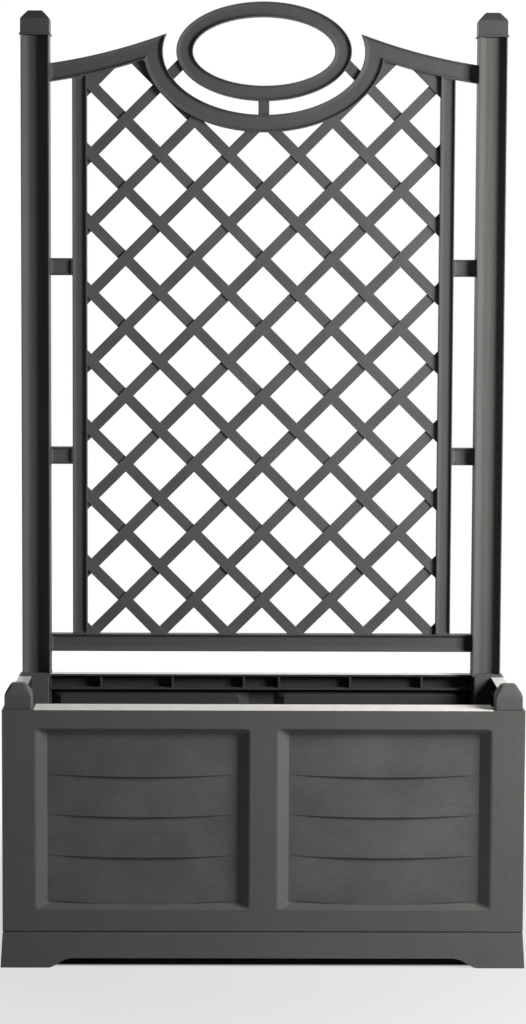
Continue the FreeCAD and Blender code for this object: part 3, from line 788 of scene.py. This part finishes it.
def wing(lift):   # the left wing's swept line from the post inwards, raised by lift
    start = (crestBox[0].x, topRailZ + lift)
    end = (-crest["wingReach"], start[1] + crest["wingRise"])
    middle = ((start[0] + end[0]) / 2, (start[1] + end[1]) / 2 - crest["wingSag"])
    return arcThrough(start, middle, end)


def shareWhere(curve, test):   # how far along a curve the test first holds
    low, high = 0.0, 1.0
    for halving in range(40):   # down to far less than a micron
        middle = (low + high) / 2
        if test(*curve(middle)):
            high = middle
        else:
            low = middle
    return high


def insideOval(half):
    return lambda x, z: (x / half[0]) ** 2 + ((z - ringZ) / half[1]) ** 2 < 1


def ovalAngle(half, point):
    return math.atan2((point[1] - ringZ) / half[1], point[0] / half[0])


def ovalRun(half, first, last, steps):   # the points between two angles of an oval, without its ends
    turns = [first + (last - first) * step / steps for step in range(1, steps)]
    return [(half[0] * math.cos(turn), ringZ + half[1] * math.sin(turn)) for turn in turns]


def along(curve, first, last, steps):
    return [curve(first + (last - first) * step / steps) for step in range(steps + 1)]


def mirrored(points):
    return [(-x, z) for x, z in points]


def underCrest(lift, startShare):   # the crest's lower edge from left to right, raised by lift
    lower = wing(lift)
    bowl = (outerHalf[0] - lift, outerHalf[1] - lift)
    left = along(lower, startShare, shareWhere(lower, insideOval(bowl)), crest["wingSteps"])
    first = ovalAngle(bowl, left[-1])
    return left + ovalRun(bowl, first, -math.pi - first, crest["bowlSteps"]) + mirrored(left)[::-1]


def crestOutline(inset):   # the crest's edge, moved inwards by the inset on every side
    lower = wing(inset)
    upper = wing(crest["railHeight"] - inset)
    fromEnd = lambda x, z: x > crestBox[0].x + inset
    oval = (innerHalf[0] + inset, innerHalf[1] + inset)
    horn = along(upper, shareWhere(upper, fromEnd), shareWhere(upper, insideOval(oval)), crest["wingSteps"])
    tip = ovalAngle(oval, horn[-1])
    bowl = ovalRun(oval, math.pi - tip, tip - 2 * math.pi, crest["bowlSteps"])
    return underCrest(inset, shareWhere(lower, fromEnd)) + mirrored(horn) + bowl + horn[::-1]


def sinkOutline(plate, fromPoints, toPoints, y):   # extrudes the picked face, its corners to new points
    push()
    bpy.ops.object.mode_set(mode="OBJECT")
    for corner in plate.data.vertices:
        if corner.select:
            gaps = [(x - corner.co.x) ** 2 + (z - corner.co.z) ** 2 for x, z in fromPoints]
            x, z = toPoints[gaps.index(min(gaps))]
            corner.co = (x, y, z)
    bpy.ops.object.mode_set(mode="EDIT")


def makeCrest():
    rail = startOutline("crestRail", crestOutline(0), crestBox[0].y)
    pickAll(rail)
    push(y=frameDepth)
    outward(rail)
    depth = (frameDepth - member["web"]) / 2
    for way in (-1, 1):
        face = screenY + way * frameDepth / 2
        pick(rail, "FACE", facing(1, way))
        inset = 0
        for wall, sunk in [(member["wall"], 0)] + grooveSteps(depth):
            sinkOutline(rail, crestOutline(inset), crestOutline(wall), face - way * sunk)
            inset = wall
    clearSelection()
    roundEdges(rail, member["softness"])
    # the crest takes a darker copy of the resin, painted shade
    dress(rail, paintedShadeSmoothResin, "screen", "screen_resin", "crest")
    print("crest done")


def ovalPlug(name, half, depth):
    clearSelection()
    bpy.ops.mesh.primitive_cylinder_add(vertices=ring["steps"], radius=1, depth=depth,
                                        location=(0, screenY, ringZ), rotation=(quarter, 0, 0))
    bpy.context.object.scale = (half[0], half[1], 1)
    return named(name)


def makeRing():
    clearSelection()
    bpy.ops.mesh.primitive_circle_add(vertices=ring["steps"], radius=1, fill_type="NOTHING",
                                      location=(0, ringBox[0].y, ringZ), rotation=(quarter, 0, 0))
    bpy.context.object.scale = (ringHalf[0], ringHalf[1], 1)
    band = named("ringBand")
    pickAll(band)
    push()
    resize((1 - ring["bandWidth"] / ringHalf[0], 1, 1 - ring["bandHeight"] / ringHalf[1]),
           (0, ringBox[0].y, ringZ))
    pickAll(band)
    push(y=frameDepth)
    outward(band)
    sinkGrooves(band, frameDepth)
    wide = ring["strutWide"] / 2
    thick = ring["strutThick"] / 2
    struts = []
    for place, turn in ((0, 90), (-ring["strutShare"], 135), (ring["strutShare"], 45)):
        strut = startBlock("strut", (0, -thick, -wide), (innerHalf[0], thick, wide))
        strut.rotation_euler = (0, math.radians(turn), 0)
        strut.location = (place * ringHalf[0], screenY, ringZ)
        struts.append(roundEdges(named("strut"), member["softness"]))
    struts = joined("ringStruts", struts)
    reach = ovalPlug("strutReach", (innerHalf[0] + bury, innerHalf[1] + bury), frameDepth)
    hole = ovalPlug("strutHole", (ringHalf[0] - bury, ringHalf[1] - bury), 2 * frameDepth)
    applyModifier(struts, "BOOLEAN", operation="INTERSECT", object=reach, solver="EXACT")
    applyModifier(struts, "BOOLEAN", operation="DIFFERENCE", object=hole, solver="EXACT")
    bpy.data.objects.remove(reach)
    bpy.data.objects.remove(hole)
    # the ring takes a darker copy of the resin, painted shade
    dress(joined("ovalRing", [band, struts]), paintedShadeSmoothResin, "screen", "screen_resin", "oval_ring")
    print("oval ring done")


def stileTop(corner):   # the stile's upper end follows the crest's lower edge
    if corner.co.z > railBox[1].z + frameDepth:
        lower = wing(bury)
        corner.co.z = lower(shareWhere(lower, lambda x, z: x > -abs(corner.co.x)))[1]


makeCrest()
makeRing()
# the rail, the stiles and the stubs take darker copies of the resin, painted shade
makeMember("bottomRail", "bottom_rail", paintedShadeRailGrain)
makeMember("stileLeft", "stile_left", paintedShadeStileGrain, stileTop)
makeMember("stileRight", "stile_right", paintedShadeStileGrain, stileTop)
for side in ("Left", "Right"):
    for level in ("Lower", "Upper"):
        makeMember(f"stub{side}{level}", f"stub_{side.lower()}_{level.lower()}", paintedShadeRailGrain)
print("screen frame done")


# Woven lattice

slat = {
    "width": 0.0165, "thick": 0.0025, "pitch": 0.1045, "flatMargin": 0.004, "firstRise": 0.052,
    "stepsPerCrossing": 10, "softness": 0.0005, "spare": 0.020, "lines": 12,
    "cornerColumn": 2.5, "cornerHalf": 0.006,
}
crossingStep = slat["pitch"] / math.sqrt(2)   # from one crossing to the next, along a slat


def weave(distance, frontIsEven):   # how far behind its front place a slat lies, this far along it
    flat = slat["width"] / 2 + slat["flatMargin"]
    index = math.floor(distance / crossingStep)
    share = min(1, max(0, (distance - index * crossingStep - flat) / (crossingStep - 2 * flat)))
    share = share * share * (3 - 2 * share)   # eases in and out
    startsInFront = (index % 2 == 0) == frontIsEven
    return slat["thick"] * (share if startsInFront else 1 - share)


def makeSlat(first, last, frontIsEven):
    clearSelection()
    steps = math.ceil((last - first) / crossingStep * slat["stepsPerCrossing"])
    bpy.ops.mesh.primitive_grid_add(x_subdivisions=steps, y_subdivisions=1, size=1, rotation=(quarter, 0, 0))
    strip = named("slat")
    for corner in strip.data.vertices:
        distance = first + (last - first) * (corner.co.x + 0.5)
        corner.co = (distance, weave(distance, frontIsEven) - slat["thick"], corner.co.z * slat["width"])
    pickAll(strip)
    push(y=slat["thick"])
    outward(strip)
    return roundEdges(strip, slat["softness"], angle=60)


def makeCorners(startZ):   # closes the small gaps over the outermost crossings, right under the crest
    column = slat["cornerColumn"] * slat["pitch"]
    lower = wing(0)
    under = lower(shareWhere(lower, lambda x, z: x > -column))[1]
    rows = math.floor((under - startZ) / slat["pitch"] - 0.5) + 0.5   # up to the last crossing
    crossing = startZ + rows * slat["pitch"]
    half = slat["cornerHalf"]
    front = screenY - slat["thick"] / 2
    back = screenY + slat["thick"] / 2
    return [startBlock("slatCorner", (x - half, front, crossing), (x + half, back, under + half))
            for x in (-column, column)]


def makeSlats(name, node, rise, frontIsEven, finish):
    edge = -stileBox[1].x + bury
    foot = railBox[1].z - bury
    lower = wing(bury)
    top = underCrest(bury, shareWhere(lower, lambda x, z: x > -edge))
    depth = 4 * slat["thick"]
    field = startOutline("latticeField", [(edge, foot), (-edge, foot)] + top, screenY - depth / 2)
    pickAll(field)
    push(y=depth)
    outward(field)
    startZ = railBox[1].z + slat["firstRise"]
    slats = []
    for line in range(-slat["lines"], slat["lines"] + 1):
        x = line * slat["pitch"]
        ends = sorted((rise * (foot - startZ), rise * (ringZ - startZ)))
        first = max(-edge - x, ends[0]) * math.sqrt(2) - slat["spare"]
        last = min(edge - x, ends[1]) * math.sqrt(2) + slat["spare"]
        if last - first > 2 * slat["spare"] + slat["width"] / 2:
            strip = makeSlat(first, last, frontIsEven)
            strip.rotation_euler = (0, math.radians(-45 * rise), 0)
            strip.location = (x, screenY, startZ)
            activate(strip)
            slats.append(named("slat"))
    pieces = [joined(name, slats)] + (makeCorners(startZ) if rise > 0 else [])
    for piece in pieces:
        applyModifier(piece, "BOOLEAN", operation="INTERSECT", object=field, solver="EXACT")
    bpy.data.objects.remove(field)
    lattice = joined(name, pieces)
    dress(lattice, finish, "screen", "screen_resin", node)


makeSlats("risingSlats", "rising_slats", 1, True, risingGrain)
makeSlats("fallingSlats", "falling_slats", -1, False, fallingGrain)
print("lattice done")


# Floor, light and camera

studio = {
    "floorSize": 30, "floorGrey": 0.6, "paperLift": 0.7, "paintedShadeNear": 0.885,
    "fadeStart": 0.30, "fadeEnd": 1.3, "shadeStart": -0.006, "shadeEnd": -0.020, "ambient": 0.036,
}
keyLight = {"place": (1.35, -0.80, 1.10), "aim": (0, 0.1, 0.7), "wide": 0.55, "tall": 0.85, "power": 43}
backLight = {"place": (-0.1, 2.2, 1.4), "aim": (0, 0.1, 0.6), "wide": 1.4, "tall": 1.4, "power": 22}


def cameraRays(make):   # 1 for rays that see the backdrop: straight, in a reflection or through glass
    path = make.tree.nodes.new("ShaderNodeLightPath")
    seen = [Reading(make.tree, path.outputs[name])
            for name in ("Is Camera Ray", "Is Glossy Ray", "Is Transmission Ray")]
    return seen[0] + seen[1] + seen[2]


def makeFloor():
    clearSelection()
    bpy.ops.mesh.primitive_plane_add(size=studio["floorSize"])
    floor = named("floor")
    material, make = newMaterial("floorPaper")
    place = make.add("TexCoord", {}, {}, "Object")
    reach = make.add("VectorMath", {"operation": "LENGTH"}, {0: place}, "Value")
    fade = make.add("MapRange", {"interpolation_type": "SMOOTHSTEP"},
                    {"Value": reach, "From Min": studio["fadeStart"], "From Max": studio["fadeEnd"]})
    grey = studio["floorGrey"]
    paper = make.add("BsdfDiffuse", {}, {"Color": (grey, grey, grey, 1)})
    # the glowing floor is greyer near the box and fades to white further out: a painted shadow around its
    # foot
    near = studio["paintedShadeNear"]
    paintedShadeTint = make.mixColours(fade, (near, near, near, 1), (1, 1, 1, 1))
    white = make.add("Emission", {}, {"Color": paintedShadeTint, "Strength": 1.0})
    apart = make.add("VectorMath", {"operation": "ABSOLUTE"}, {0: place}, "Vector")
    edge = (halfWidth, halfDepth, 0)
    beyond = make.add("VectorMath", {"operation": "SUBTRACT"}, {0: apart, 1: edge}, "Vector")
    ways = [make.add("SeparateXYZ", {}, {0: beyond}, axis) for axis in "XY"]
    clear = make.add("MapRange", {"interpolation_type": "SMOOTHSTEP"},
                     {"Value": ways[0].combine("MAXIMUM", *ways), "From Min": studio["shadeEnd"],
                      "From Max": studio["shadeStart"]})   # the floor stays dark under the box
    share = (fade * (1 - studio["paperLift"]) + studio["paperLift"]) * clear
    mixed = make.add("MixShader", {}, {0: share * cameraRays(make), 1: paper, 2: white})
    make.add("OutputMaterial", {}, {"Surface": mixed})
    floor.data.materials.append(material)


def makeWorld():
    world = bpy.data.worlds.new("studio")
    bpy.context.scene.world = world
    world.use_nodes = True
    make = Finish(world.node_tree)
    level = cameraRays(make) * (1 - studio["ambient"]) + studio["ambient"]
    light = make.add("Background", {}, {"Color": (1, 1, 1, 1), "Strength": level})
    make.add("OutputWorld", {}, {"Surface": light})


def makeLamp(name, lamp):
    light = bpy.data.lights.new(name, "AREA")
    light.shape = "RECTANGLE"
    light.size = lamp["wide"]
    light.size_y = lamp["tall"]
    light.energy = lamp["power"]
    holder = bpy.data.objects.new(name, light)
    bpy.context.scene.collection.objects.link(holder)
    holder.location = lamp["place"]
    holder.rotation_euler = (Vector(lamp["aim"]) - holder.location).to_track_quat("-Z", "Y").to_euler()


view = {
    "place": (-0.0478, -4.131, 1.0174), "pitch": 5.243, "yaw": 0.657, "roll": 0.253,
    "lens": 98.83, "sensor": 36,
}


def makeCamera():
    data = bpy.data.cameras.new("photoCamera")
    data.sensor_width = view["sensor"]
    data.lens = view["lens"]
    camera = bpy.data.objects.new("photoCamera", data)
    bpy.context.scene.collection.objects.link(camera)
    turn = Matrix.Rotation(math.radians(-view["yaw"]), 4, "Z")
    tilt = Matrix.Rotation(math.radians(90 - view["pitch"]), 4, "X")
    roll = Matrix.Rotation(math.radians(view["roll"]), 4, "Z")
    camera.matrix_world = Matrix.Translation(view["place"]) @ turn @ tilt @ roll
    bpy.context.scene.camera = camera


makeFloor()
makeWorld()
makeLamp("keyLight", keyLight)
makeLamp("backLight", backLight)   # a soft fill for the back, out of the camera's sight
makeCamera()
bpy.context.scene.view_settings.view_transform = "Standard"
print("studio done")
